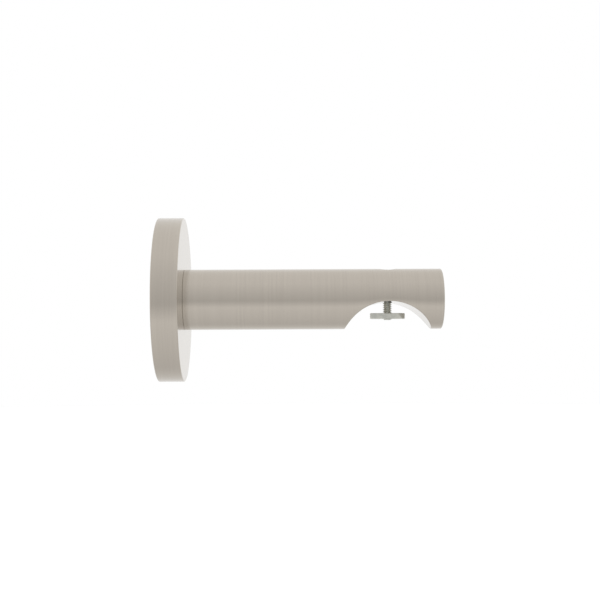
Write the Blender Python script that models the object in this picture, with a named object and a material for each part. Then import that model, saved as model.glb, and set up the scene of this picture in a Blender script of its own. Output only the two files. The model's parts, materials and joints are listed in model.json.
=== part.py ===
"""Wall bracket for a round curtain pole: a round wall flange, a solid round arm and a saddle clamp.

The frame: the origin is the centre of the wall plate's back, on the wall. +X runs out along the arm,
+Z is up, and the pole lies along Y. Sizes below are in millimetres; MM turns them into metres.
"""

from math import cos, pi, radians, sin, sqrt, tan

import bmesh
import bpy
from mathutils import Matrix, Vector

MM = 0.001

# ---- clearances between pieces, in millimetres
FACE_GAP = 0.25          # between two faces that bear on each other
SIDE_GAP = 0.3           # round a piece that sits in a hole or a recess
THREAD_GAP = 0.25        # round a plain shank that stands for a thread
OVERRUN = 2.0            # how far a cutter runs past the face it opens
TIP_SHARE = 0.2          # chamfer of a screw's end, as a share of its radius

# ---- smoothness of turned pieces
ROUND_STEPS = 96         # facets round the flange, the plate, the arm and the saddle
SCREW_STEPS = 32         # facets round screws, the washer and their holes
EDGE_STEPS = 3           # facets across a rounded edge
CUTTER_TWIST = radians(3)  # turns a round cutter, so that its edges don't meet the piece's edges

# ---- wall flange: a shallow cup with its open side to the wall
FLANGE_RADIUS = 25.75
FLANGE_RIM = 3.25        # thickness of the round side wall
FLANGE_EDGE = 0.4        # rounding of its outer edges

# ---- wall plate: the disc that is screwed to the wall and that the flange slides over
PLATE_EDGE = 0.4         # chamfer
PLATE_CLEARANCE = 0.4    # between the plate's front and the flange's web
GROOVE_DEPTH = 1.0       # V groove round the plate's edge, with sides at 45 degrees
GROOVE_FRONT = 1.0       # plain edge in front of the groove
SLOT_WIDTH = 4.8
SLOT_LENGTH = 9.0
SLOT_SINK_WIDTH = 9.0    # countersink's width at the plate's front
SLOT_MARGIN = 4.7        # metal left between a countersink and the plate's edge

# ---- flange grub screw: enters the rim from below and locks in the plate's groove
GRUB_RADIUS = 1.5
GRUB_TIP_RADIUS = 0.2
GRUB_SUNK = 0.3          # its outer end, below the rim's surface
GRUB_BEHIND = 0.85       # rim left between its hole and the wall
GRUB_SOCKET_FLATS = 1.5
GRUB_SOCKET_DEPTH = 1.1

# ---- arm bolt: countersunk, from inside the flange into the arm
BOLT_RADIUS = 2.5
BOLT_HEAD_RADIUS = 4.7
BOLT_LENGTH = 14.0
BOLT_HEAD_LAND = 0.3     # short straight side of the head, behind its 45 degree cone
BOLT_SUNK = 0.2          # its back, below the web's back
BOLT_HOLE_LAND = 0.3     # plain hole left in front of the web's countersink
BOLT_SOCKET_FLATS = 3.0
BOLT_SOCKET_DEPTH = 1.6
BOLT_RUNOUT = 1.5        # spare depth of the arm's hole past the bolt's end
DRILL_POINT = radians(31)  # slope of the hole's end, for a drill with a 118 degree point

# ---- saddle: the round seat across the arm's underside that takes the pole
POLE_RADIUS = 15.0
POLE_CLEARANCE = 0.2
POLE_OUT = 71.8          # the pole axis's distance from the wall
SADDLE_ROOF = 1.0        # the seat's top, below the arm's axis

# ---- arm: a solid bar
ARM_RADIUS = 9.5
ARM_LIP = 3.36           # width of the lip left outside the saddle, along the arm's bottom
ARM_EDGE = 0.5           # rounding of its outer end
ARM_ROOT_EDGE = 0.3      # chamfer of its wall end

# ---- T-nut: the hammer-head nut that turns across the pole's channel
NUT_LENGTH = 11.0
NUT_WIDTH = 5.2
NUT_THICK = 1.75
NUT_DROP = 3.55          # its top, below the saddle's roof at rest
NUT_TIP_SHOWN = 0.35     # the screw's end, below the nut at rest

# ---- clamp screw: a socket cap screw that comes down through the arm over the pole
SCREW_RADIUS = 1.42
SCREW_HEAD_RADIUS = 2.32
SCREW_HEAD_HEIGHT = 2.84
SCREW_HEAD_EDGE = 0.3
SCREW_HEAD_SUNK = 1.0    # the head's top, below the arm's top
SCREW_SOCKET_FLATS = 2.38
SCREW_SOCKET_DEPTH = 1.5

# ---- spring washer under the clamp screw's head
WASHER_THICK = 0.7
WASHER_RADIUS = 2.4
WASHER_SPLIT = 0.5

# ---- worked out from the sizes above
RECESS_RADIUS = FLANGE_RADIUS - FLANGE_RIM
PLATE_RADIUS = RECESS_RADIUS - SIDE_GAP
SLOT_OFFSET = PLATE_RADIUS - SLOT_MARGIN - SLOT_SINK_WIDTH / 2
GRUB_BORE = GRUB_RADIUS + THREAD_GAP
GROOVE_OUT = GRUB_BEHIND + GRUB_BORE
PLATE_THICK = GROOVE_OUT + GROOVE_DEPTH + GROOVE_FRONT
GRUB_TIP = PLATE_RADIUS + FACE_GAP
GRUB_LENGTH = FLANGE_RADIUS - GRUB_SUNK - GRUB_TIP
FLANGE_RECESS = PLATE_THICK + PLATE_CLEARANCE
BOLT_BORE = BOLT_RADIUS + THREAD_GAP
BOLT_CONE = BOLT_HEAD_RADIUS - BOLT_RADIUS
BOLT_BACK = FLANGE_RECESS + BOLT_SUNK
BOLT_CONE_START = BOLT_BACK + BOLT_HEAD_LAND
BOLT_END = BOLT_BACK + BOLT_LENGTH
FLANGE_DEPTH = BOLT_CONE_START + BOLT_CONE + BOLT_HOLE_LAND
ARM_ROOT = FLANGE_DEPTH + FACE_GAP
SADDLE_RADIUS = POLE_RADIUS + POLE_CLEARANCE
SADDLE_AXIS = -SADDLE_ROOF - SADDLE_RADIUS
SADDLE_HALF_MOUTH = sqrt(SADDLE_RADIUS**2 - (SADDLE_AXIS + ARM_RADIUS) ** 2)
ARM_END = POLE_OUT + SADDLE_HALF_MOUTH + ARM_LIP
HEAD_BOTTOM = ARM_RADIUS - SCREW_HEAD_SUNK - SCREW_HEAD_HEIGHT
WASHER_BOTTOM = HEAD_BOTTOM - FACE_GAP - WASHER_THICK
COUNTERBORE_FLOOR = WASHER_BOTTOM - FACE_GAP
COUNTERBORE_RADIUS = max(WASHER_RADIUS, SCREW_HEAD_RADIUS) + SIDE_GAP
NUT_BOTTOM = -SADDLE_ROOF - NUT_DROP - NUT_THICK
SCREW_LENGTH = HEAD_BOTTOM - NUT_BOTTOM + NUT_TIP_SHOWN
SCREW_BORE = SCREW_RADIUS + THREAD_GAP

Z_AXIS = Vector((0.0, 0.0, 1.0))
ALONG_X = Matrix.Rotation(pi / 2, 4, "Y")        # turns a shape made up Z so that it runs out along X
ALONG_Y = Matrix.Rotation(-pi / 2, 4, "X")       # turns a shape made up Z so that it runs along Y
DOWN = Matrix.Rotation(pi, 4, "X")               # turns a shape made up Z so that it runs down

SATIN_NICKEL = ("satin_nickel", (0.56, 0.52, 0.47), 0.30, 1.0)
ZINC_PLATE = ("zinc_plate", (0.50, 0.50, 0.47), 0.35, 1.0)
BLACK_STEEL = ("black_steel", (0.06, 0.06, 0.065), 0.45, 1.0)
CAST_ZINC = ("cast_zinc", (0.42, 0.42, 0.41), 0.50, 1.0)


def clear_scene():
    for thing in list(bpy.data.objects):
        bpy.data.objects.remove(thing, do_unlink=True)


def metal(finish):
    """The Principled material of a finish: its name, colour, roughness and metallic value."""
    name, colour, roughness, metallic = finish
    found = bpy.data.materials.get(name)
    if found:
        return found
    made = bpy.data.materials.new(name)
    made.use_nodes = True
    shader = made.node_tree.nodes["Principled BSDF"]
    shader.inputs["Base Color"].default_value = (*colour, 1.0)
    shader.inputs["Roughness"].default_value = roughness
    shader.inputs["Metallic"].default_value = metallic
    return made


def add_object(name, bm, at=(0.0, 0.0, 0.0), finish=None):
    """Put a bmesh made in millimetres about its own origin into the scene, placed at a point."""
    bmesh.ops.remove_doubles(bm, verts=bm.verts, dist=1e-4)
    bmesh.ops.recalc_face_normals(bm, faces=bm.faces)
    bmesh.ops.scale(bm, vec=(MM, MM, MM), verts=bm.verts)
    mesh = bpy.data.meshes.new(name)
    bm.to_mesh(mesh)
    bm.free()
    mesh.shade_smooth()
    mesh.set_sharp_from_angle(angle=radians(32))
    thing = bpy.data.objects.new(name, mesh)
    thing.location = Vector(at) * MM
    bpy.context.scene.collection.objects.link(thing)
    if finish:
        mesh.materials.append(metal(finish))
    return thing


def cut(thing, bm, at=(0.0, 0.0, 0.0)):
    """Cut a bmesh away from an object, with a live Boolean and a hidden wire cutter."""
    cutter = add_object(f"cutter_{thing.name}_{len(thing.modifiers) + 1}", bm, at)
    cutter.hide_render = True
    cutter.display_type = "WIRE"
    tool = thing.modifiers.new("cut", "BOOLEAN")
    tool.operation = "DIFFERENCE"
    tool.solver = "EXACT"
    tool.object = cutter


def rounded(corner, radius, from_angle, to_angle):
    """Points on a quarter round: (height, distance out) about a corner's centre, angles in degrees."""
    points = []
    for step in range(EDGE_STEPS + 1):
        angle = radians(from_angle + (to_angle - from_angle) * step / EDGE_STEPS)
        points.append((corner[0] + radius * sin(angle), corner[1] + radius * cos(angle)))
    return points


def turned(outline, steps, closed=False):
    """Spin an outline of (height, radius) points about Z. An open outline starts and ends on the axis."""
    bm = bmesh.new()
    points = [bm.verts.new((radius, 0.0, height)) for height, radius in outline]
    for first, second in zip(points, points[1:]):
        bm.edges.new((first, second))
    if closed:
        bm.edges.new((points[-1], points[0]))
    bmesh.ops.spin(
        bm, geom=bm.verts[:] + bm.edges[:], cent=(0.0, 0.0, 0.0), axis=Z_AXIS,
        angle=2 * pi, steps=steps, use_merge=True, use_normal_flip=False,
    )
    bmesh.ops.remove_doubles(bm, verts=bm.verts, dist=1e-5)
    return bm


def turn_about(bm, matrix):
    bmesh.ops.transform(bm, matrix=matrix, verts=bm.verts)
    return bm


def cutter_turned(outline, steps=SCREW_STEPS):
    """A turned cutter up Z."""
    return turn_about(turned(outline, steps), Matrix.Rotation(CUTTER_TWIST, 4, "Z"))


def drill(radius, low, high, steps=SCREW_STEPS):
    """A plain round cutter up Z."""
    return cutter_turned([(low, 0.0), (low, radius), (high, radius), (high, 0.0)], steps)


def hexagon(flats, low, high):
    """A six-sided cutter up Z, for a socket of that size across its flats."""
    return drill(flats / sqrt(3), low, high, steps=6)


def extruded(outline, low, high):
    """A flat outline of (x, y) points raised from one height to another."""
    bm = bmesh.new()
    face = bm.faces.new([bm.verts.new((x, y, low)) for x, y in outline])
    raised = bmesh.ops.extrude_face_region(bm, geom=[face])
    tops = [item for item in raised["geom"] if isinstance(item, bmesh.types.BMVert)]
    bmesh.ops.translate(bm, vec=(0.0, 0.0, high - low), verts=tops)
    return bm


def slot_outline(length, width):
    """A slot's outline, its length along Y and its ends full round."""
    points = []
    for end in (1, -1):
        for step in range(SCREW_STEPS // 2 + 1):
            angle = pi * step / (SCREW_STEPS // 2)
            x = end * width / 2 * cos(angle)
            points.append((x, end * ((length - width) / 2 + width / 2 * sin(angle))))
    return points


def sunk_slot():
    """The cutter for a wall screw's slot: straight through, then sloping out at 45 degrees."""
    sink_start = PLATE_THICK - (SLOT_SINK_WIDTH - SLOT_WIDTH) / 2
    sink_top = PLATE_THICK + OVERRUN
    top_growth = 2 * (sink_top - sink_start)
    bm = bmesh.new()
    corners = []
    edges = []
    for height, growth in ((-OVERRUN, 0.0), (sink_start, 0.0), (sink_top, top_growth)):
        outline = slot_outline(SLOT_LENGTH + growth, SLOT_WIDTH + growth)
        ring = [bm.verts.new((x, y, height)) for x, y in outline]
        corners.append(ring)
        edges.append([bm.edges.new(pair) for pair in zip(ring, ring[1:] + ring[:1])])
    for lower, upper in zip(edges, edges[1:]):
        bmesh.ops.bridge_loops(bm, edges=lower + upper)
    bm.faces.new(corners[0])
    bm.faces.new(corners[-1])
    return bm


def make_wall_flange():
    """The cup-shaped cover: its rim meets the wall, and its front wall carries the arm."""
    edge = FLANGE_EDGE
    outline = [(0.0, RECESS_RADIUS)]
    outline += rounded((edge, FLANGE_RADIUS - edge), edge, -90, 0)
    outline += rounded((FLANGE_DEPTH - edge, FLANGE_RADIUS - edge), edge, 0, 90)
    sink_radius = BOLT_BORE + BOLT_CONE
    outline += [(FLANGE_DEPTH, BOLT_BORE), (BOLT_CONE_START + BOLT_CONE, BOLT_BORE)]
    outline += [(BOLT_CONE_START, sink_radius), (FLANGE_RECESS, sink_radius)]
    outline += [(FLANGE_RECESS, RECESS_RADIUS)]
    flange = add_object(
        "wall_flange", turn_about(turned(outline, ROUND_STEPS, closed=True), ALONG_X),
        finish=SATIN_NICKEL,
    )
    hole = drill(GRUB_BORE, RECESS_RADIUS - OVERRUN, FLANGE_RADIUS + OVERRUN)
    cut(flange, turn_about(hole, DOWN), at=(GROOVE_OUT, 0.0, 0.0))


def make_wall_plate():
    """The disc on the wall, with a V groove round its edge and a slot for each wall screw."""
    edge = PLATE_EDGE
    outline = [(0.0, 0.0), (0.0, PLATE_RADIUS - edge), (edge, PLATE_RADIUS)]
    outline += [(GROOVE_OUT - GROOVE_DEPTH, PLATE_RADIUS)]
    outline += [(GROOVE_OUT, PLATE_RADIUS - GROOVE_DEPTH)]
    outline += [(GROOVE_OUT + GROOVE_DEPTH, PLATE_RADIUS), (PLATE_THICK - edge, PLATE_RADIUS)]
    outline += [(PLATE_THICK, PLATE_RADIUS - edge), (PLATE_THICK, 0.0)]
    plate = add_object(
        "wall_plate", turn_about(turned(outline, ROUND_STEPS), ALONG_X), finish=CAST_ZINC,
    )
    for side in (1, -1):
        cut(plate, turn_about(sunk_slot(), ALONG_X), at=(0.0, 0.0, side * SLOT_OFFSET))


def make_flange_grub_screw():
    """The small set screw in the rim, shown backed out so that its cone just clears the plate."""
    cone = GRUB_RADIUS - GRUB_TIP_RADIUS
    outline = [(0.0, 0.0), (0.0, GRUB_TIP_RADIUS), (cone, GRUB_RADIUS)]
    outline += [(GRUB_LENGTH, GRUB_RADIUS), (GRUB_LENGTH, 0.0)]
    tip = (GROOVE_OUT, 0.0, -GRUB_TIP)
    grub = add_object(
        "flange_grub_screw", turn_about(turned(outline, SCREW_STEPS), DOWN), at=tip,
        finish=BLACK_STEEL,
    )
    socket = hexagon(GRUB_SOCKET_FLATS, GRUB_LENGTH - GRUB_SOCKET_DEPTH, GRUB_LENGTH + OVERRUN)
    cut(grub, turn_about(socket, DOWN), at=tip)


def make_arm():
    """The round bar: a blind hole for the bolt, a stepped hole for the clamp screw, and the saddle."""
    outline = [(ARM_ROOT, 0.0), (ARM_ROOT, ARM_RADIUS - ARM_ROOT_EDGE)]
    outline += [(ARM_ROOT + ARM_ROOT_EDGE, ARM_RADIUS)]
    outline += rounded((ARM_END - ARM_EDGE, ARM_RADIUS - ARM_EDGE), ARM_EDGE, 0, 90)
    outline += [(ARM_END, 0.0)]
    arm = add_object("arm", turn_about(turned(outline, ROUND_STEPS), ALONG_X), finish=SATIN_NICKEL)

    hole_end = BOLT_END + BOLT_RUNOUT
    blind_outline = [(ARM_ROOT - OVERRUN, 0.0), (ARM_ROOT - OVERRUN, BOLT_BORE)]
    blind_outline += [(hole_end, BOLT_BORE), (hole_end + BOLT_BORE * tan(DRILL_POINT), 0.0)]
    blind = cutter_turned(blind_outline)
    across = ARM_RADIUS + OVERRUN
    seat = drill(SADDLE_RADIUS, -across, across, steps=ROUND_STEPS)
    cut(arm, turn_about(seat, ALONG_Y), at=(POLE_OUT, 0.0, SADDLE_AXIS))
    cut(arm, turn_about(blind, ALONG_X))

    stepped = [(-ARM_RADIUS, 0.0), (-ARM_RADIUS, SCREW_BORE), (COUNTERBORE_FLOOR, SCREW_BORE)]
    stepped += [(COUNTERBORE_FLOOR, COUNTERBORE_RADIUS), (across, COUNTERBORE_RADIUS), (across, 0.0)]
    cut(arm, cutter_turned(stepped), at=(POLE_OUT, 0.0, 0.0))


def make_arm_bolt():
    """The countersunk bolt that draws the arm against the flange, with its head in the web."""
    tip = BOLT_RADIUS * TIP_SHARE
    outline = [(0.0, 0.0), (0.0, BOLT_HEAD_RADIUS), (BOLT_HEAD_LAND, BOLT_HEAD_RADIUS)]
    outline += [(BOLT_HEAD_LAND + BOLT_CONE, BOLT_RADIUS), (BOLT_LENGTH - tip, BOLT_RADIUS)]
    outline += [(BOLT_LENGTH, BOLT_RADIUS - tip), (BOLT_LENGTH, 0.0)]
    back = (BOLT_BACK, 0.0, 0.0)
    bolt = add_object(
        "arm_bolt", turn_about(turned(outline, SCREW_STEPS), ALONG_X), at=back, finish=ZINC_PLATE,
    )
    socket = hexagon(BOLT_SOCKET_FLATS, -OVERRUN, BOLT_SOCKET_DEPTH)
    cut(bolt, turn_about(socket, ALONG_X), at=back)


def make_clamp_screw():
    """The cap screw over the pole, its socket open to the top of the arm."""
    edge = SCREW_HEAD_EDGE
    tip = SCREW_RADIUS * TIP_SHARE
    outline = [(-SCREW_LENGTH, 0.0), (-SCREW_LENGTH, SCREW_RADIUS - tip)]
    outline += [(tip - SCREW_LENGTH, SCREW_RADIUS), (0.0, SCREW_RADIUS)]
    outline += [(0.0, SCREW_HEAD_RADIUS), (SCREW_HEAD_HEIGHT - edge, SCREW_HEAD_RADIUS)]
    outline += [(SCREW_HEAD_HEIGHT, SCREW_HEAD_RADIUS - edge), (SCREW_HEAD_HEIGHT, 0.0)]
    seat = (POLE_OUT, 0.0, HEAD_BOTTOM)
    screw = add_object("clamp_screw", turned(outline, SCREW_STEPS), at=seat, finish=ZINC_PLATE)
    floor = SCREW_HEAD_HEIGHT - SCREW_SOCKET_DEPTH
    cut(screw, hexagon(SCREW_SOCKET_FLATS, floor, SCREW_HEAD_HEIGHT + OVERRUN), at=seat)


def make_spring_washer():
    """The split washer that keeps the clamp screw tight: a ring that stops short of a full turn."""
    section = [(SCREW_BORE, 0.0), (WASHER_RADIUS, 0.0)]
    section += [(WASHER_RADIUS, WASHER_THICK), (SCREW_BORE, WASHER_THICK)]
    split_angle = WASHER_SPLIT / WASHER_RADIUS
    bm = bmesh.new()
    bm.faces.new([bm.verts.new((radius, 0.0, height)) for radius, height in section])
    bmesh.ops.spin(
        bm, geom=bm.verts[:] + bm.edges[:] + bm.faces[:], cent=(0.0, 0.0, 0.0), axis=Z_AXIS,
        angle=2 * pi - split_angle, steps=SCREW_STEPS, use_merge=False, use_normal_flip=False,
    )
    turn_about(bm, Matrix.Rotation(split_angle / 2, 4, "Z"))
    add_object("spring_washer", bm, at=(POLE_OUT, 0.0, WASHER_BOTTOM), finish=ZINC_PLATE)


def make_t_nut():
    """The hammer-head nut: two opposite corners are full round, so that it can turn in a channel."""
    half_length = NUT_LENGTH / 2
    half_width = NUT_WIDTH / 2
    outline = []
    for side in (1, -1):
        outline.append((side * half_length, side * -half_width))
        centre = half_length - half_width
        for step in range(SCREW_STEPS // 4 + 1):
            angle = pi / 2 * step / (SCREW_STEPS // 4)
            x = centre + half_width * cos(angle)
            outline.append((side * x, side * half_width * sin(angle)))
    mirrored = [(x, -y) for x, y in outline]
    seat = (POLE_OUT, 0.0, NUT_BOTTOM)
    nut = add_object("t_nut", extruded(mirrored, 0.0, NUT_THICK), at=seat, finish=ZINC_PLATE)
    cut(nut, drill(SCREW_BORE, -OVERRUN, NUT_THICK + OVERRUN), at=seat)


def build():
    clear_scene()
    make_wall_plate()
    make_wall_flange()
    make_flange_grub_screw()
    make_arm()
    make_arm_bolt()
    make_clamp_screw()
    make_spring_washer()
    make_t_nut()


build()
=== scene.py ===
# %% [markdown]
# # A satin nickel bracket for a curtain pole
# The bracket is a round flange on the wall, a solid round arm, and a round seat cut across the arm's
# underside that a 30 mm pole is pulled up into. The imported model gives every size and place. This
# script gives each piece its real edges, threads and finish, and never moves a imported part.

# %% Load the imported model
import json
from math import cos, pi, radians, sin, sqrt, tan

import bmesh
import bpy
from mathutils import Matrix, Vector

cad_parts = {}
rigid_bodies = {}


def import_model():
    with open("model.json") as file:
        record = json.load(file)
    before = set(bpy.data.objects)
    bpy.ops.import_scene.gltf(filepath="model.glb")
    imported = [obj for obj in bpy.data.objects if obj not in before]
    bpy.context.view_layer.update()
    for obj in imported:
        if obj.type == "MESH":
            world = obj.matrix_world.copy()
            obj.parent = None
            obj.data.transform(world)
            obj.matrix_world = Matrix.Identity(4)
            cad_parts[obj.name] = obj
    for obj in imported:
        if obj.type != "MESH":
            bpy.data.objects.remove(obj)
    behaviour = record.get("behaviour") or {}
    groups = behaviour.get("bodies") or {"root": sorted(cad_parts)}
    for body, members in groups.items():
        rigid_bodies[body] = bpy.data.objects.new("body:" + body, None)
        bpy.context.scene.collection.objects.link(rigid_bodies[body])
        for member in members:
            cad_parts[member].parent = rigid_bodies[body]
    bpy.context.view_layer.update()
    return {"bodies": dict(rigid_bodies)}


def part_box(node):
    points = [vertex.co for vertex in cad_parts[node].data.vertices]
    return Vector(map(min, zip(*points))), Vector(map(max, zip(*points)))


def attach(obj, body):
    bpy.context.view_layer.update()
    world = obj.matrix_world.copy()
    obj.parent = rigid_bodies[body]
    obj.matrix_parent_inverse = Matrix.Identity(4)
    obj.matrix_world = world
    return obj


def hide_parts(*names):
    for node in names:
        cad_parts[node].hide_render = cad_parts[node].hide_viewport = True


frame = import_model()
print("bodies:", ", ".join(frame["bodies"]))

# %% [markdown]
# ## Sizes
# Small hardware is easier to read in millimetres, so pieces are modelled in millimetres and scaled
# to metres when they are finished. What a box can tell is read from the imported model. The seat's
# radius, the bores and the small fits can't be read from a box, so they are values with a name.

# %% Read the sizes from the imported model
MM = 0.001


def box_mm(node):
    """A node's lowest and highest corner at rest, in millimetres."""
    low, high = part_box(node)
    return low / MM, high / MM


flange_high = box_mm("wall_flange")[1]
plate_high = box_mm("wall_plate")[1]
arm_high = box_mm("arm")[1]
bolt_low, bolt_high = box_mm("arm_bolt")
screw_low, screw_high = box_mm("clamp_screw")
washer_low, washer_high = box_mm("spring_washer")
nut_low, nut_high = box_mm("t_nut")
grub_low, grub_high = box_mm("flange_grub_screw")

FLANGE_RADIUS = flange_high.z
FLANGE_DEPTH = flange_high.x
ARM_RADIUS = arm_high.z
ARM_END = arm_high.x
POLE_OUT = (nut_low.x + nut_high.x) / 2
SADDLE_RADIUS = 15.2
SADDLE_ROOF = 1.0
SADDLE_AXIS = -SADDLE_ROOF - SADDLE_RADIUS
print(f"arm radius {ARM_RADIUS:.2f}, end {ARM_END:.2f}, pole axis at {POLE_OUT:.2f} mm")

# %% [markdown]
# ## Modelling helpers
# Almost every piece here came off a lathe, so almost every shape is an outline spun about an axis.
# Holes and the seat are cut with a Boolean, as a drill or a mill would, and the cut edges then get
# a small bevel, because no real edge is perfectly sharp and a bevel is what catches the light.

# %% Helpers for turned shapes
Z_AXIS = Vector((0.0, 0.0, 1.0))
ALONG_X = Matrix.Rotation(pi / 2, 4, "Y")
ALONG_Y = Matrix.Rotation(-pi / 2, 4, "X")
DOWN = Matrix.Rotation(pi, 4, "X")
WELD = 1e-4
BODY_STEPS = 192
SMALL_STEPS = 64


def spun(outline, steps, closed=False):
    """Spin (height, radius) points about Z. An open outline starts and ends on the axis."""
    bm = bmesh.new()
    points = [bm.verts.new((radius, 0.0, height)) for height, radius in outline]
    for first, second in zip(points, points[1:]):
        bm.edges.new((first, second))
    if closed:
        bm.edges.new((points[-1], points[0]))
    bmesh.ops.spin(
        bm, geom=bm.verts[:] + bm.edges[:], cent=(0, 0, 0), axis=Z_AXIS, angle=2 * pi,
        steps=steps, use_merge=True,
    )
    bmesh.ops.remove_doubles(bm, verts=bm.verts, dist=WELD)
    bmesh.ops.recalc_face_normals(bm, faces=bm.faces)
    return bm


def round_edge(height, radius, size, start, steps=5):
    """(height, radius) points of a quarter round about a centre, from an angle in degrees."""
    angles = [radians(start + 90 * step / steps) for step in range(steps + 1)]
    return [(height + size * sin(angle), radius + size * cos(angle)) for angle in angles]


def along(start, end, gap):
    """Evenly spaced values between two heights, both left out, no further apart than a gap."""
    count = max(1, round((end - start) / gap))
    return [start + (end - start) * step / count for step in range(1, count)]


def move(bm, matrix):
    bmesh.ops.transform(bm, matrix=matrix, verts=bm.verts)
    return bm


# %% Helpers for cuts and soft edges
def as_object(name, bm):
    mesh = bpy.data.meshes.new(name)
    bm.to_mesh(mesh)
    bm.free()
    thing = bpy.data.objects.new(name, mesh)
    bpy.context.scene.collection.objects.link(thing)
    return thing


def boolean(bm, tools, operation="DIFFERENCE"):
    """Cut bmeshes from a bmesh, or keep what they share, and give back the result as a bmesh."""
    work = as_object("work", bm)
    used = []
    for tool in tools:
        cutter = as_object("cutter", tool)
        step = work.modifiers.new("cut", "BOOLEAN")
        step.operation = operation
        step.solver = "EXACT"
        step.object = cutter
        used.append(cutter)
    evaluated = work.evaluated_get(bpy.context.evaluated_depsgraph_get())
    result = bmesh.new()
    result.from_mesh(evaluated.to_mesh())
    evaluated.to_mesh_clear()
    for thing in [work, *used]:
        mesh = thing.data
        bpy.data.objects.remove(thing)
        bpy.data.meshes.remove(mesh)
    return result


def soften(bm, width, chosen=None, angle=35, segments=3):
    """Bevel the sharp edges of a shape, or those of them that a test on their middle chooses."""
    bmesh.ops.remove_doubles(bm, verts=bm.verts, dist=0.004)
    bmesh.ops.dissolve_degenerate(bm, edges=bm.edges, dist=0.002)
    sharp = []
    for edge in bm.edges:
        if len(edge.link_faces) != 2 or edge.calc_face_angle(0.0) < radians(angle):
            continue
        middle = (edge.verts[0].co + edge.verts[1].co) / 2
        if chosen is None or chosen(middle):
            sharp.append(edge)
    bmesh.ops.bevel(
        bm, geom=sharp, offset=width, offset_type="OFFSET", affect="EDGES", segments=segments,
        profile=0.5, material=-1, clamp_overlap=False,
    )
    return len(sharp)


def stray_edges(bm):
    """How many edges don't have exactly two faces: 0 on a closed shape."""
    return sum(len(edge.link_faces) != 2 for edge in bm.edges)


# %% [markdown]
# ## Shader helpers
# A node tree is easier to read as arithmetic. `Wire` holds one output socket, and its operators add
# the Math nodes. `Nodes.add` makes any other node from its type, its settings and its inputs.

# %% Helpers for shader maths
class Wire:
    """One output socket in a node tree. Arithmetic on it adds Math nodes."""

    def __init__(self, nodes, socket):
        self.nodes = nodes
        self.socket = socket

    def maths(self, operation, *values):
        made = self.nodes.add("ShaderNodeMath", {"operation": operation}, dict(enumerate(values)))
        return made[0]

    def __add__(self, other):
        return self.maths("ADD", self, other)

    def __radd__(self, other):
        return self.maths("ADD", other, self)

    def __sub__(self, other):
        return self.maths("SUBTRACT", self, other)

    def __rsub__(self, other):
        return self.maths("SUBTRACT", other, self)

    def __mul__(self, other):
        return self.maths("MULTIPLY", self, other)

    def __rmul__(self, other):
        return self.maths("MULTIPLY", other, self)

    def __pow__(self, other):
        return self.maths("POWER", self, other)

    def step(self, low, high):
        """0 under low, 1 over high, and smooth in between."""
        made = self.nodes.add(
            "ShaderNodeMapRange", {"interpolation_type": "SMOOTHSTEP"},
            {"Value": self, "From Min": low, "From Max": high},
        )
        return made["Result"]


class Nodes:
    """A material's or world's node tree, emptied, with short ways to add to it."""

    def __init__(self, owner):
        owner.use_nodes = True
        self.tree = owner.node_tree
        self.tree.nodes.clear()

    def add(self, kind, settings=None, values=None):
        """A node with its settings made first, then its inputs set or linked. Gives its outputs."""
        node = self.tree.nodes.new(kind)
        for key, setting in (settings or {}).items():
            if key == "stops":
                self.set_stops(node.color_ramp, setting)
            else:
                setattr(node, key, setting)
        for key, value in (values or {}).items():
            socket = node.inputs[key]
            if isinstance(value, Wire):
                self.tree.links.new(value.socket, socket)
            else:
                socket.default_value = value
        by_name = {socket.name: Wire(self, socket) for socket in reversed(node.outputs)}
        return {**by_name, **{place: Wire(self, out) for place, out in enumerate(node.outputs)}}

    def set_stops(self, ramp, stops):
        while len(ramp.elements) < len(stops):
            ramp.elements.new(1.0)
        for element, (place, level) in zip(ramp.elements, stops):
            element.position = place
            element.color = (level, level, level, 1.0)

    def split(self, vector):
        parts = self.add("ShaderNodeSeparateXYZ", {}, {"Vector": vector})
        return parts["X"], parts["Y"], parts["Z"]

    def join(self, x, y, z):
        return self.add("ShaderNodeCombineXYZ", {}, {"X": x, "Y": y, "Z": z})["Vector"]

    def noise(self, vector, scale, detail=2.0, roughness=0.5):
        values = {"Vector": vector, "Scale": scale, "Detail": detail, "Roughness": roughness}
        return self.add("ShaderNodeTexNoise", {"noise_dimensions": "3D"}, values)["Fac"]

    def blend(self, factor, first, second):
        """Mix two colours."""
        made = self.add("ShaderNodeMix", {"data_type": "RGBA"}, {0: factor, 6: first, 7: second})
        return made[2]

    def bump(self, height, distance):
        values = {"Height": height, "Distance": distance, "Strength": 1.0}
        return self.add("ShaderNodeBump", {}, values)["Normal"]

    def surface(self, **sockets):
        """The Principled shader and the output. A socket's name is written with underscores."""
        values = {key.replace("_", " "): value for key, value in sockets.items()}
        shader = self.add("ShaderNodeBsdfPrincipled", {}, values)["BSDF"]
        self.add("ShaderNodeOutputMaterial", {}, {"Surface": shader})


def new_material(name):
    material = bpy.data.materials.new(name)
    return material, Nodes(material)


def rgb(red, green, blue):
    return (red, green, blue, 1.0)


# %% [markdown]
# ## Satin nickel, brushed round the piece
# The arm and the flange are turned, then brushed while they spin. That leaves hair lines that run
# round the axis: on the side they differ from place to place along X, and on an end face they are
# rings. One coordinate does both: the place along the axis plus the distance from it.

# %% Make the brushed nickel
NICKEL_DARK = rgb(0.518, 0.474, 0.416)
NICKEL_LIGHT = rgb(0.546, 0.501, 0.440)
HAIR = 9000.0
STREAK = 1600.0
BAND = 260.0


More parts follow.
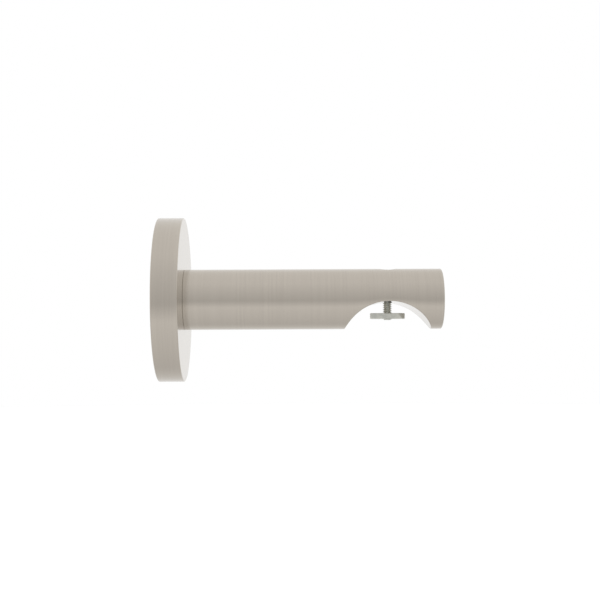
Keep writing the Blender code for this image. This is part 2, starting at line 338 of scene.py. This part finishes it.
def brushed_nickel(name, dark, light, rough_low, rough_high, depth):
    material, nodes = new_material(name)
    place = nodes.add("ShaderNodeTexCoord")["Object"]
    x, y, z = nodes.split(place)
    across = x + (y * y + z * z) ** 0.5

    def lines(pitch, stretch):
        """Noise that changes fast across the brushing and slowly along it."""
        return nodes.join(across * pitch, y * stretch, z * stretch)

    hair = nodes.noise(lines(HAIR, 60.0), 1.0, detail=3.0, roughness=0.6)
    streak = nodes.noise(lines(STREAK, 25.0), 1.0, detail=2.0)
    band = nodes.noise(lines(BAND, 15.0), 1.0, detail=1.0)
    tone = (0.45 * hair + 0.35 * streak + 0.20 * band).step(0.34, 0.66)
    colour = nodes.blend(tone, dark, light)
    roughness = rough_low + (rough_high - rough_low) * streak
    normal = nodes.bump(0.85 * hair + 0.15 * streak, depth)
    nodes.surface(Base_Color=colour, Metallic=1.0, Roughness=roughness, Normal=normal)
    return material


satin = brushed_nickel("satin_nickel", NICKEL_DARK, NICKEL_LIGHT, 0.12, 0.16, 0.000003)
print("made", satin.name, "with", len(satin.node_tree.nodes), "nodes")

# %% [markdown]
# ## Nickel where it isn't brushed
# The seat is milled before the plating and never brushed, so it is smoother and brighter, with
# fine tool marks that run across the arm. The flange's hollow inside is dull: a brush can't reach it.

# %% Make the milled and the dull nickel
def milled_nickel():
    material, nodes = new_material("milled_nickel")
    x, y, z = nodes.split(nodes.add("ShaderNodeTexCoord")["Object"])
    marks = nodes.noise(nodes.join(x * 3200.0, y * 90.0, z * 3200.0), 1.0, detail=2.0)
    cloud = nodes.noise(nodes.join(x, y, z), 420.0, detail=2.0)
    colour = nodes.blend(0.5 * marks + 0.5 * cloud, rgb(0.56, 0.53, 0.49), rgb(0.63, 0.60, 0.56))
    normal = nodes.bump(marks, 0.0000015)
    nodes.surface(Base_Color=colour, Metallic=1.0, Roughness=0.07 + 0.06 * cloud, Normal=normal)
    return material


def dull_nickel():
    material, nodes = new_material("dull_nickel")
    place = nodes.add("ShaderNodeTexCoord")["Object"]
    grain = nodes.noise(place, 5200.0, detail=3.0)
    cloud = nodes.noise(place, 160.0, detail=3.0)
    colour = nodes.blend(cloud.step(0.35, 0.65), rgb(0.35, 0.33, 0.30), rgb(0.43, 0.41, 0.375))
    normal = nodes.bump(grain, 0.000012)
    nodes.surface(Base_Color=colour, Metallic=1.0, Roughness=0.38 + 0.12 * cloud, Normal=normal)
    return material


milled = milled_nickel()
dull = dull_nickel()
print("made", milled.name, "and", dull.name)

# %% [markdown]
# ## Plated steel, cast zinc and black steel
# The screws and the T-nut are bright zinc plated: a cold grey with a faint green-yellow bloom and
# small pits. The wall plate is cast zinc, left as it came from the die. The set screw is blackened.

# %% Make the hardware's finishes
def plated_steel():
    material, nodes = new_material("zinc_plate")
    place = nodes.add("ShaderNodeTexCoord")["Object"]
    bloom = nodes.noise(place, 700.0, detail=3.0)
    pits = nodes.noise(place, 6500.0, detail=2.0)
    cold = nodes.blend(bloom.step(0.35, 0.65), rgb(0.60, 0.605, 0.555), rgb(0.70, 0.70, 0.635))
    colour = nodes.blend(pits.step(0.60, 0.72), cold, rgb(0.36, 0.36, 0.33))
    roughness = 0.24 + 0.16 * bloom
    nodes.surface(
        Base_Color=colour, Metallic=1.0, Roughness=roughness, Normal=nodes.bump(pits, 0.000008),
    )
    return material


def cast_zinc():
    material, nodes = new_material("cast_zinc")
    place = nodes.add("ShaderNodeTexCoord")["Object"]
    flow = nodes.noise(place, 260.0, detail=5.0, roughness=0.7)
    grain = nodes.noise(place, 3800.0, detail=3.0)
    colour = nodes.blend(flow.step(0.30, 0.70), rgb(0.43, 0.43, 0.42), rgb(0.50, 0.50, 0.49))
    roughness = 0.42 + 0.16 * grain
    nodes.surface(
        Base_Color=colour, Metallic=1.0, Roughness=roughness, Normal=nodes.bump(grain, 0.00002),
    )
    return material


def black_steel():
    material, nodes = new_material("black_steel")
    place = nodes.add("ShaderNodeTexCoord")["Object"]
    oil = nodes.noise(place, 900.0, detail=3.0)
    colour = nodes.blend(oil, rgb(0.035, 0.035, 0.038), rgb(0.075, 0.073, 0.072))
    nodes.surface(
        Base_Color=colour, Metallic=0.8, Roughness=0.32 + 0.2 * oil,
        Normal=nodes.bump(oil, 0.000006),
    )
    return material


zinc = plated_steel()
cast = cast_zinc()
black = black_steel()
print("made", ", ".join(material.name for material in (zinc, cast, black)))

# %% [markdown]
# ## Finishing a piece
# Each piece ends the same way: faces turned outwards, millimetres made metres, smooth shading that
# stops at real corners, its finishes by zone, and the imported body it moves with.

# %% A helper that finishes a piece
def piece(name, bm, body, node, materials, zone=None):
    """Make the object of a finished shape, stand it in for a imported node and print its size."""
    bmesh.ops.recalc_face_normals(bm, faces=bm.faces)
    if zone:
        for face in bm.faces:
            face.material_index = zone(face.calc_center_median())
    stray = stray_edges(bm)
    bmesh.ops.scale(bm, vec=(MM, MM, MM), verts=bm.verts)
    thing = as_object(name, bm)
    for material in materials:
        thing.data.materials.append(material)
    thing.data.shade_smooth()
    thing.data.set_sharp_from_angle(angle=radians(34))
    even = thing.modifiers.new("even_shading", "WEIGHTED_NORMAL")
    even.keep_sharp = True
    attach(thing, body)
    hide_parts(node)
    print(f"{name}: {len(thing.data.polygons)} faces, {stray} stray edges, rides on {body}")
    return thing


# %% [markdown]
# ## The arm
# A solid bar with a rounded outer end. The outline has extra points along its length, so that no
# face is long and thin: shading on long faces smears near a cut. The seat is a cylinder across it.

# %% Model the arm
ARM_EDGE = 0.45
ROOT_EDGE = 0.05
SEAT_EDGE = 0.12
ROLL_WIDTH = 3.3
ROLL_DROP = 0.15
BORE_RADIUS = 1.67
COUNTERBORE_RADIUS = 2.7
COUNTERBORE_FLOOR = washer_low.z - 0.25
BOLT_BORE = 2.75
DRILL_POINT = radians(31)
RUN_OUT = 1.5
BAR_STEP = 2.5
FINE_STEP = 0.6
BOLT_BORE_END = bolt_high.x + RUN_OUT
PAST = 2.0

seat_half = sqrt(SADDLE_RADIUS**2 - (SADDLE_AXIS + ARM_RADIUS) ** 2)
seat_start = POLE_OUT - seat_half - 1.0
arm_root = FLANGE_DEPTH + 0.01
outline = [(arm_root, 0.0), (arm_root, ARM_RADIUS - ROOT_EDGE), (arm_root + ROOT_EDGE, ARM_RADIUS)]
outline += [(height, ARM_RADIUS) for height in along(arm_root + ROOT_EDGE, seat_start, BAR_STEP)]
outline += [(height, ARM_RADIUS) for height in along(seat_start, ARM_END - ARM_EDGE, FINE_STEP)]
outline += round_edge(ARM_END - ARM_EDGE, ARM_RADIUS - ARM_EDGE, ARM_EDGE, 0)
outline += [(ARM_END, ARM_RADIUS * share) for share in (0.8, 0.6, 0.4, 0.2, 0.0)]
bar = move(spun(outline, BODY_STEPS), ALONG_X)

# The bar's surface rolls off a little towards the seat's edge, most over the top of its arc.
for point in bar.verts:
    to_seat = sqrt((point.co.x - POLE_OUT) ** 2 + (point.co.z - SADDLE_AXIS) ** 2) - SADDLE_RADIUS
    if to_seat < ROLL_WIDTH and point.co.yz.length > 0.9 * ARM_RADIUS:
        above = (point.co.z - SADDLE_AXIS) / (to_seat + SADDLE_RADIUS)
        drop = ROLL_DROP * (1 - max(to_seat, -1.0) / ROLL_WIDTH) ** 2 * max(above, 0.0) ** 4
        point.co.y *= 1 - drop / ARM_RADIUS
        point.co.z *= 1 - drop / ARM_RADIUS

across = ARM_RADIUS + PAST
seat_outline = [(-across, 0.0), (-across, SADDLE_RADIUS)]
seat_outline += [(height, SADDLE_RADIUS) for height in along(-across, across, 1.0)]
seat_outline += [(across, SADDLE_RADIUS), (across, 0.0)]
seat = move(spun(seat_outline, 2 * BODY_STEPS), Matrix.Rotation(radians(0.4), 4, "Z"))
seat = move(move(seat, ALONG_Y), Matrix.Translation((POLE_OUT, 0.0, SADDLE_AXIS)))

stepped = [(-ARM_RADIUS, 0.0), (-ARM_RADIUS, BORE_RADIUS), (COUNTERBORE_FLOOR, BORE_RADIUS)]
stepped += [(COUNTERBORE_FLOOR, COUNTERBORE_RADIUS), (across, COUNTERBORE_RADIUS), (across, 0.0)]
bore = move(spun(stepped, SMALL_STEPS), Matrix.Rotation(radians(0.7), 4, "Z"))
bore = move(bore, Matrix.Translation((POLE_OUT, 0.0, 0.0)))

blind = [(0.0, 0.0), (0.0, BOLT_BORE), (BOLT_BORE_END, BOLT_BORE)]
blind += [(BOLT_BORE_END + BOLT_BORE * tan(DRILL_POINT), 0.0)]
bolt_bore = move(move(spun(blind, SMALL_STEPS), Matrix.Rotation(radians(0.7), 4, "Z")), ALONG_X)

bar = boolean(bar, [seat, bolt_bore, bore])


def on_cut(middle):
    """Is this point on the seat's or the counterbore's edge, on the arm's outside?"""
    outside = sqrt(middle.y**2 + middle.z**2) > ARM_RADIUS - ROLL_DROP - 0.05
    return outside and seat_start < middle.x < ARM_END - 2 * ARM_EDGE


softened = soften(bar, SEAT_EDGE, on_cut)


def arm_zone(middle):
    """0 where the bar is brushed, 1 in the seat and the holes."""
    from_seat = sqrt((middle.x - POLE_OUT) ** 2 + (middle.z - SADDLE_AXIS) ** 2) - SADDLE_RADIUS
    from_axis = sqrt(middle.y**2 + middle.z**2)
    outside = from_axis > ARM_RADIUS - 0.02 or (from_axis > ARM_RADIUS - 0.25 and from_seat > 0.01)
    in_bore = (middle.x - POLE_OUT) ** 2 + middle.y**2 < (COUNTERBORE_RADIUS + 0.1) ** 2
    on_an_end = middle.x > ARM_END - ARM_EDGE or middle.x < arm_root + 0.5
    return 0 if (outside and not in_bore) or on_an_end else 1


piece("arm_bar", bar, "arm", "arm", [satin, milled], arm_zone)
print(softened, "edges of the seat and the counterbore softened")

# %% [markdown]
# ## The wall flange
# A cup turned from bar: a round side wall that closes on the wall, and a front wall that carries the
# arm. The outline goes once round the wall's own section and is spun as a closed loop, so the
# inside is as real as the outside. The set screw's hole is drilled up through the rim.

# %% Model the wall flange
FLANGE_EDGE = 0.4
RECESS_RADIUS = plate_high.z + 0.3
RECESS_DEPTH = plate_high.x + 0.4
SINK_RADIUS = bolt_high.z + 0.25
GRUB_BORE = grub_high.y + 0.08
GRUB_OUT = (grub_low.x + grub_high.x) / 2

front = FLANGE_DEPTH
edge = FLANGE_EDGE
section = [(0.0, RECESS_RADIUS + 0.3), (0.0, FLANGE_RADIUS - 0.5 * edge), (0.5 * edge, FLANGE_RADIUS)]
section += [(height, FLANGE_RADIUS) for height in along(0.5 * edge, front - edge, 0.7)]
section += round_edge(front - edge, FLANGE_RADIUS - edge, edge, 0)
section += [(front, radius) for radius in (23.0, 20.0, 17.0, 14.0, 11.0, 8.0, 5.0, BOLT_BORE)]
section += [(bolt_low.x + 2.5, BOLT_BORE), (bolt_low.x + 0.3, SINK_RADIUS)]
section += [(RECESS_DEPTH, SINK_RADIUS), (RECESS_DEPTH, 12.0), (RECESS_DEPTH, RECESS_RADIUS - 0.4)]
section += [(RECESS_DEPTH - 0.4, RECESS_RADIUS), (0.3, RECESS_RADIUS)]
cup = move(spun(section, BODY_STEPS, closed=True), ALONG_X)
rim_middle = (RECESS_RADIUS + FLANGE_RADIUS) / 2
drill = [(-3.0, 0.0), (-3.0, GRUB_BORE), (3.0, GRUB_BORE), (3.0, 0.0)]
drill = move(spun(drill, SMALL_STEPS), DOWN)
cup = boolean(cup, [move(drill, Matrix.Translation((GRUB_OUT, 0.0, -rim_middle)))])


def on_grub_mouth(middle):
    return middle.z < -FLANGE_RADIUS + 0.2 and sqrt((middle.x - GRUB_OUT) ** 2 + middle.y**2) < 2.0


softened = soften(cup, 0.12, on_grub_mouth)


def flange_zone(middle):
    """0 on the outside, 1 in the recess and the holes."""
    radius = sqrt(middle.y**2 + middle.z**2)
    on_front = middle.x > front - 0.01 and radius > BOLT_BORE
    return 0 if radius > FLANGE_RADIUS - edge - 0.01 or on_front or middle.x > front - edge else 1


piece("flange_cover", cup, "flange", "wall_flange", [satin, dull], flange_zone)
print(softened, "edges of the set screw's hole softened")

# %% [markdown]
# ## The wall plate
# A die-cast disc that is screwed to the wall first. The flange slides over it and its set screw
# bites in the V groove round the edge. Two long countersunk slots let the plate be levelled.
# A slot's outline is a circle whose two halves are pulled apart, so it needs no arc of its own.

# %% Model the wall plate
PLATE_RADIUS = plate_high.z
PLATE_THICK = plate_high.x
GROOVE_DEPTH = 1.0
SLOT_WIDTH = 4.8
SLOT_LENGTH = 9.0
SINK_WIDTH = 9.0
SLOT_OFFSET = PLATE_RADIUS - 4.7 - SINK_WIDTH / 2


def slot_ring(bm, width, height):
    """A slot's outline at a height: a circle whose halves are pulled apart along Y."""
    ring = bmesh.ops.create_circle(bm, segments=SMALL_STEPS, radius=width / 2, cap_ends=False)
    for point in ring["verts"]:
        pull = (SLOT_LENGTH - SLOT_WIDTH) / 2
        point.co.y += pull if point.co.y > WELD else -pull if point.co.y < -WELD else 0.0
        point.co.z = height
    return list(dict.fromkeys(edge for point in ring["verts"] for edge in point.link_edges))


def slot_cutter():
    sink_start = PLATE_THICK - (SINK_WIDTH - SLOT_WIDTH) / 2
    bm = bmesh.new()
    rings = [
        slot_ring(bm, SLOT_WIDTH, -PAST),
        slot_ring(bm, SLOT_WIDTH, sink_start),
        slot_ring(bm, SINK_WIDTH + 2 * PAST, PLATE_THICK + PAST),
    ]
    for lower, upper in zip(rings, rings[1:]):
        bmesh.ops.bridge_loops(bm, edges=lower + upper)
    for ring in (rings[0], rings[-1]):
        bmesh.ops.contextual_create(bm, geom=ring)
    bmesh.ops.recalc_face_normals(bm, faces=bm.faces)
    return bm


outline = [(0.0, 0.0), (0.0, 8.0), (0.0, 15.0), (0.0, PLATE_RADIUS - 0.4), (0.4, PLATE_RADIUS)]
outline += [(GRUB_OUT - GROOVE_DEPTH, PLATE_RADIUS), (GRUB_OUT, PLATE_RADIUS - GROOVE_DEPTH)]
outline += [(GRUB_OUT + GROOVE_DEPTH, PLATE_RADIUS)]
outline += round_edge(PLATE_THICK - 0.4, PLATE_RADIUS - 0.4, 0.4, 0)
outline += [(PLATE_THICK, radius) for radius in (18.0, 12.0, 6.0, 0.0)]
disc = move(spun(outline, BODY_STEPS), ALONG_X)
slots = [
    move(move(slot_cutter(), ALONG_X), Matrix.Translation((0.0, 0.0, side * SLOT_OFFSET)))
    for side in (1, -1)
]
disc = boolean(disc, slots)


def on_slot(middle):
    return middle.x > PLATE_THICK - 0.01 and sqrt(middle.y**2 + middle.z**2) < PLATE_RADIUS - 1


softened = soften(disc, 0.15, on_slot)
piece("wall_plate_casting", disc, "wall_mount", "wall_plate", [cast])
print(softened, "edges of the slots softened")

# %% [markdown]
# ## Real threads
# The screw's thread shows between the arm and the T-nut, so it is modelled and not painted. One
# pitch of the thread's outline is spun as a helix that climbs one pitch a turn. The turns weld
# to each other, two planes trim the ends, and a turned shape trims the rod to its chamfered tip.

# %% Helpers for threads and hexagon sockets
THREAD_STEPS = 40


def threaded(radius, pitch, low, high):
    """A threaded rod up Z between two heights."""
    depth = 0.61 * pitch
    turns = int((high - low) / pitch) + 3
    crest, flank, root = pitch / 8, pitch * 5 / 16, pitch / 4
    points = [(0.0, radius), (crest, radius), (crest + flank, radius - depth)]
    points += [(crest + flank + root, radius - depth), (pitch, radius)]
    bm = bmesh.new()
    line = [bm.verts.new((out, 0.0, low - 1.5 * pitch + up)) for up, out in points]
    edges = [bm.edges.new(pair) for pair in zip(line, line[1:])]
    bmesh.ops.spin(
        bm, geom=line + edges, cent=(0, 0, 0), axis=Z_AXIS, dvec=(0, 0, pitch / THREAD_STEPS),
        angle=2 * pi * turns, steps=THREAD_STEPS * turns, use_merge=False,
    )
    bmesh.ops.remove_doubles(bm, verts=bm.verts, dist=0.01 * pitch)
    for height, normal in ((low, (0, 0, -1)), (high, (0, 0, 1))):
        geom = bm.verts[:] + bm.edges[:] + bm.faces[:]
        bmesh.ops.bisect_plane(
            bm, geom=geom, plane_co=(0, 0, height), plane_no=normal, clear_outer=True, dist=WELD,
        )
    ends = [edge for edge in bm.edges if len(edge.link_faces) == 1]
    bmesh.ops.holes_fill(bm, edges=ends, sides=0)
    bmesh.ops.recalc_face_normals(bm, faces=bm.faces)
    return bm


def hexagon_cutter(flats, low, high, point=0.35):
    """A hexagon socket's cutter up Z, open upwards, with the cone that its drill left below."""
    corner = flats / sqrt(3)
    return spun([(low - point, 0.0), (low, corner), (high, corner), (high, 0.0)], 6)


# %% [markdown]
# ## The clamp screw
# A No. 4-40 cap screw: a knurled head for fingers, a hexagon socket for the key, and a fully threaded
# shank. The knurl is every second point of the head's side pushed in a little.

# %% Model the clamp screw
CLAMP_PITCH = 0.635
CLAMP_RADIUS = 1.42
NECK_RADIUS = 1.2
HEAD_HEIGHT = 2.84
CLAMP_SOCKET = 2.38
SOCKET_DEPTH = 1.5
TIP_CHAMFER = 0.35
KNURL_PRESSED = 0.965
TRIM_GAP = 0.01
head_radius = screw_high.y
head_bottom = screw_high.z - HEAD_HEIGHT
KNURLS = 36

shank = threaded(CLAMP_RADIUS, CLAMP_PITCH, screw_low.z, head_bottom + 0.2)
trim = [(screw_low.z, 0.0), (screw_low.z, CLAMP_RADIUS - TIP_CHAMFER)]
trim += [(screw_low.z + TIP_CHAMFER, CLAMP_RADIUS + TRIM_GAP)]
trim += [(head_bottom - 1.2, CLAMP_RADIUS + TRIM_GAP), (head_bottom - 0.9, NECK_RADIUS)]
trim += [(head_bottom + 0.1, NECK_RADIUS), (head_bottom + 0.1, 0.0)]
shank = boolean(shank, [spun(trim, SMALL_STEPS)], "INTERSECT")

top = screw_high.z
outline = [(head_bottom, 0.0), (head_bottom, head_radius - 0.15), (head_bottom + 0.15, head_radius)]
outline += [(head_bottom + 0.4, head_radius), (top - 0.55, head_radius), (top - 0.4, head_radius)]
outline += round_edge(top - 0.3, head_radius - 0.3, 0.3, 0)
outline += [(top, 0.0)]
head = spun(outline, 2 * KNURLS)
for point in head.verts:
    out = Vector((point.co.x, point.co.y))
    if head_bottom + 0.3 < point.co.z < top - 0.5 and out.length > head_radius - 0.05:
        turn = round((out.angle_signed(Vector((1.0, 0.0))) % (2 * pi)) / (pi / KNURLS))
        if turn % 2:
            point.co.x *= KNURL_PRESSED
            point.co.y *= KNURL_PRESSED
head = boolean(head, [hexagon_cutter(CLAMP_SOCKET, top - SOCKET_DEPTH, top + 1.0)])
soften(head, 0.07, lambda middle: middle.z > top - 0.01 and middle.xy.length < 1.6, segments=2)
screw = boolean(head, [shank], "UNION")
move(screw, Matrix.Translation((POLE_OUT, 0.0, 0.0)))
piece("clamp_screw_threaded", screw, "screw", "clamp_screw", [zinc])

# %% [markdown]
# ## The T-nut
# A hammer-head nut stamped from strip. Two opposite corners are full round, so it can turn a
# quarter in the pole's channel and jam there. Bevelling two upright edges of a block by half its
# width gives just those corners.

# %% Model the T-nut
TAPPED = 1.49
TAPPED_EDGE = 0.15
NUT_EDGE = 0.14

nut_centre = (nut_low + nut_high) / 2
nut_size = nut_high - nut_low
block = bmesh.new()
bmesh.ops.create_cube(block, size=1.0)
bmesh.ops.scale(block, vec=nut_size, verts=block.verts)
corners = []
for edge in block.edges:
    middle = (edge.verts[0].co + edge.verts[1].co) / 2
    if abs(middle.z) < WELD and middle.x * middle.y < 0:
        corners.append(edge)
bmesh.ops.bevel(
    block, geom=corners, offset=nut_size.y / 2, offset_type="OFFSET", affect="EDGES", segments=14,
    profile=0.5, material=-1,
)
flare = TAPPED + PAST - nut_size.z / 2 + TAPPED_EDGE
straight = nut_size.z / 2 - TAPPED_EDGE
tapped = [(-PAST, 0.0), (-PAST, flare), (-straight, TAPPED)]
tapped += [(straight, TAPPED), (PAST, flare), (PAST, 0.0)]
block = boolean(block, [move(spun(tapped, SMALL_STEPS), Matrix.Rotation(radians(0.7), 4, "Z"))])
soften(block, NUT_EDGE, lambda middle: middle.xy.length > 2.2, segments=3)
move(block, Matrix.Translation(nut_centre))
piece("t_nut_stamped", block, "nut", "t_nut", [zinc])

# %% [markdown]
# ## The spring washer
# A coil of square wire, one turn long, cut at a slant. It is a small square spun just short of a
# full turn while it climbs, and its two cut ends are left square.

# %% Model the spring washer
WASHER_BORE = 1.5
WASHER_RISE = 0.1
WASHER_STEPS = 60
WASHER_SPLIT = radians(9)

washer_outer = (washer_high.y - washer_low.y) / 2
washer_thick = washer_high.z - washer_low.z - WASHER_RISE
coil = bmesh.new()
corners = [(WASHER_BORE, 0.0), (washer_outer, 0.0), (washer_outer, 1.0), (WASHER_BORE, 1.0)]
coil.faces.new([coil.verts.new((out, 0.0, up * washer_thick)) for out, up in corners])
bmesh.ops.bevel(
    coil, geom=coil.verts[:], offset=0.08, offset_type="OFFSET", affect="VERTICES", segments=2,
    profile=0.5, material=-1,
)
bmesh.ops.spin(
    coil, geom=coil.verts[:] + coil.edges[:] + coil.faces[:], cent=(0, 0, 0), axis=Z_AXIS,
    dvec=(0, 0, WASHER_RISE / WASHER_STEPS), angle=2 * pi - WASHER_SPLIT, steps=WASHER_STEPS,
    use_merge=False,
)
move(coil, Matrix.Rotation(WASHER_SPLIT / 2, 4, "Z"))
move(coil, Matrix.Translation((POLE_OUT, 0.0, washer_low.z)))
bmesh.ops.remove_doubles(coil, verts=coil.verts, dist=WELD)
piece("spring_washer_coil", coil, "washer", "spring_washer", [zinc])

# %% [markdown]
# ## The arm bolt and the set screw
# Both are hidden or nearly so. They are made as the clamp screw is: a thread, a turned head or
# point, and a hexagon socket.

# %% Model the arm bolt
M5_PITCH = 0.8
M5_RADIUS = 2.5
BOLT_NECK = 2.2
BOLT_SOCKET = 3.0
BOLT_SOCKET_DEPTH = 1.6
BOLT_TIP = 0.5
bolt_head = bolt_high.z
length = bolt_high.x - bolt_low.x
cone_end = 0.3 + bolt_head - M5_RADIUS
shank = threaded(M5_RADIUS, M5_PITCH, cone_end - 0.5, length)
trim = [(cone_end - 0.4, 0.0), (cone_end - 0.4, BOLT_NECK), (cone_end + 0.9, BOLT_NECK)]
trim += [(cone_end + 1.3, M5_RADIUS + TRIM_GAP), (length - BOLT_TIP, M5_RADIUS + TRIM_GAP)]
trim += [(length, M5_RADIUS - BOLT_TIP), (length, 0.0)]
shank = boolean(shank, [spun(trim, SMALL_STEPS)], "INTERSECT")
outline = [(0.0, 0.0), (0.0, bolt_head - 0.1), (0.1, bolt_head), (0.3, bolt_head)]
outline += [(cone_end, M5_RADIUS - 0.1), (cone_end + 0.1, M5_RADIUS - 0.2), (cone_end + 0.1, 0.0)]
head = spun(outline, SMALL_STEPS)
socket = move(hexagon_cutter(BOLT_SOCKET, -BOLT_SOCKET_DEPTH, 1.0), DOWN)
head = boolean(head, [move(socket, Matrix.Rotation(radians(7), 4, "Z"))])
bolt = boolean(head, [shank], "UNION")
move(move(bolt, ALONG_X), Matrix.Translation((bolt_low.x, 0.0, 0.0)))
piece("arm_bolt_threaded", bolt, "arm", "arm_bolt", [zinc])

# %% Model the set screw
M3_PITCH = 0.5
M3_RADIUS = 1.5
POINT_RADIUS = 0.2
GRUB_CHAMFER = 0.15
GRUB_SOCKET = 1.5
GRUB_SOCKET_DEPTH = 1.1

full = M3_RADIUS + TRIM_GAP
grub_length = grub_high.z - grub_low.z
rod = threaded(M3_RADIUS, M3_PITCH, 0.0, grub_length)
trim = [(0.0, 0.0), (0.0, POINT_RADIUS), (full - POINT_RADIUS, full)]
trim += [(grub_length - GRUB_CHAMFER, full), (grub_length, full - GRUB_CHAMFER), (grub_length, 0.0)]
rod = boolean(rod, [spun(trim, SMALL_STEPS)], "INTERSECT")
grub_socket = hexagon_cutter(GRUB_SOCKET, grub_length - GRUB_SOCKET_DEPTH, grub_length + 1.0, point=0.2)
rod = boolean(rod, [grub_socket])
move(move(rod, DOWN), Matrix.Translation((GRUB_OUT, 0.0, grub_high.z)))
piece("set_screw_threaded", rod, "grub", "flange_grub_screw", [black])

# %% [markdown]
# ## Light and floor
# Soft studio light from all round, in six levels that depend only on the angle about X, with an
# even ramp from each to the next. It is brightest behind, bright above and low in front, dimmer
# straight below, and dimmest towards the viewer, where the room is. The camera sees plain white.
# The overhead light is there for the floor, and neither of the two shows in the bright metal.

# %% Set the soft light round the bracket
scene = bpy.context.scene
scene.view_settings.view_transform = "Standard"
scene.view_settings.look = "None"

# Degrees about X, with 0 towards the viewer and 90 up, and how bright it is there.
SOFT_LIGHT = ((-180, 1.00), (-110, 0.76), (-32, 0.92), (-8, 0.68), (60, 0.90), (180, 1.00))


def soft_studio():
    world = bpy.data.worlds.new("soft_studio")
    scene.world = world
    nodes = Nodes(world)
    _, y, z = nodes.split(nodes.add("ShaderNodeTexCoord")["Generated"])
    turn = z.maths("ARCTAN2", z, 0.0 - y) * (0.5 / pi) + 0.5
    stops = [(degrees / 360 + 0.5, level) for degrees, level in SOFT_LIGHT]
    ramp = nodes.add("ShaderNodeValToRGB", {"stops": stops}, {"Fac": turn})["Color"]
    white = rgb(1.0, 1.0, 1.0)
    seen = nodes.add("ShaderNodeLightPath")["Is Camera Ray"]
    glow = nodes.add("ShaderNodeBackground", {}, {"Color": ramp, "Strength": 1.0})
    plain = nodes.add("ShaderNodeBackground", {}, {"Color": white, "Strength": 1.0})
    both = nodes.add(
        "ShaderNodeMixShader", {}, {0: seen, 1: glow["Background"], 2: plain["Background"]},
    )
    nodes.add("ShaderNodeOutputWorld", {}, {"Surface": both["Shader"]})


soft_studio()
print("soft light with", len(SOFT_LIGHT), "levels")

# %% Lay the floor and light it
FLOOR_DOWN = 0.30
FLOOR_SIZE = 5.0
OVERHEAD_POWER = 1.6
OVERHEAD_SPREAD = radians(80)

sheet = bmesh.new()
bmesh.ops.create_circle(sheet, segments=96, radius=FLOOR_SIZE, cap_ends=True)
move(sheet, Matrix.Translation((0.0, 0.0, -FLOOR_DOWN)))
floor = as_object("floor", sheet)
paper, nodes = new_material("pale_paper")
grain = nodes.noise(nodes.add("ShaderNodeTexCoord")["Object"], 300.0, detail=2.0)
nodes.surface(
    Base_Color=nodes.blend(grain, rgb(0.86, 0.86, 0.86), rgb(0.90, 0.90, 0.90)), Roughness=0.9,
)
floor.data.materials.append(paper)
floor.visible_glossy = False

sky = bpy.data.objects.new("overhead_light", bpy.data.lights.new("overhead_light", "SUN"))
sky.data.energy = OVERHEAD_POWER
sky.data.angle = OVERHEAD_SPREAD
sky.visible_glossy = False
scene.collection.objects.link(sky)
print("floor", FLOOR_DOWN, "m under the bracket")

# %% [markdown]
# ## The camera
# It looks straight at the bracket's side from a little below the arm, from the distance that gives
# the flange and the arm's end their slight perspective.

# %% Place the camera
TARGET = Vector((0.04425, 0.0, -0.00021))
DISTANCE = 0.354
TURN, RISE, ROLL = -0.0112, -0.04, -0.0052
LENS = 67.3

back = Vector((sin(TURN) * cos(RISE), -cos(TURN) * cos(RISE), sin(RISE)))
right = Vector((cos(TURN), sin(TURN), 0.0))
up = back.cross(right)
rolled_right = cos(ROLL) * right + sin(ROLL) * up
rolled_up = cos(ROLL) * up - sin(ROLL) * right
camera = bpy.data.objects.new("camera", bpy.data.cameras.new("camera"))
camera.data.lens = LENS
camera.data.sensor_width = 36.0
camera.data.clip_start = 0.01
camera.data.clip_end = 20.0
facing = Matrix((rolled_right, rolled_up, back)).transposed().to_4x4()
camera.matrix_world = Matrix.Translation(TARGET + DISTANCE * back) @ facing
scene.collection.objects.link(camera)
scene.camera = camera
print("camera at", [round(value, 3) for value in camera.matrix_world.translation])
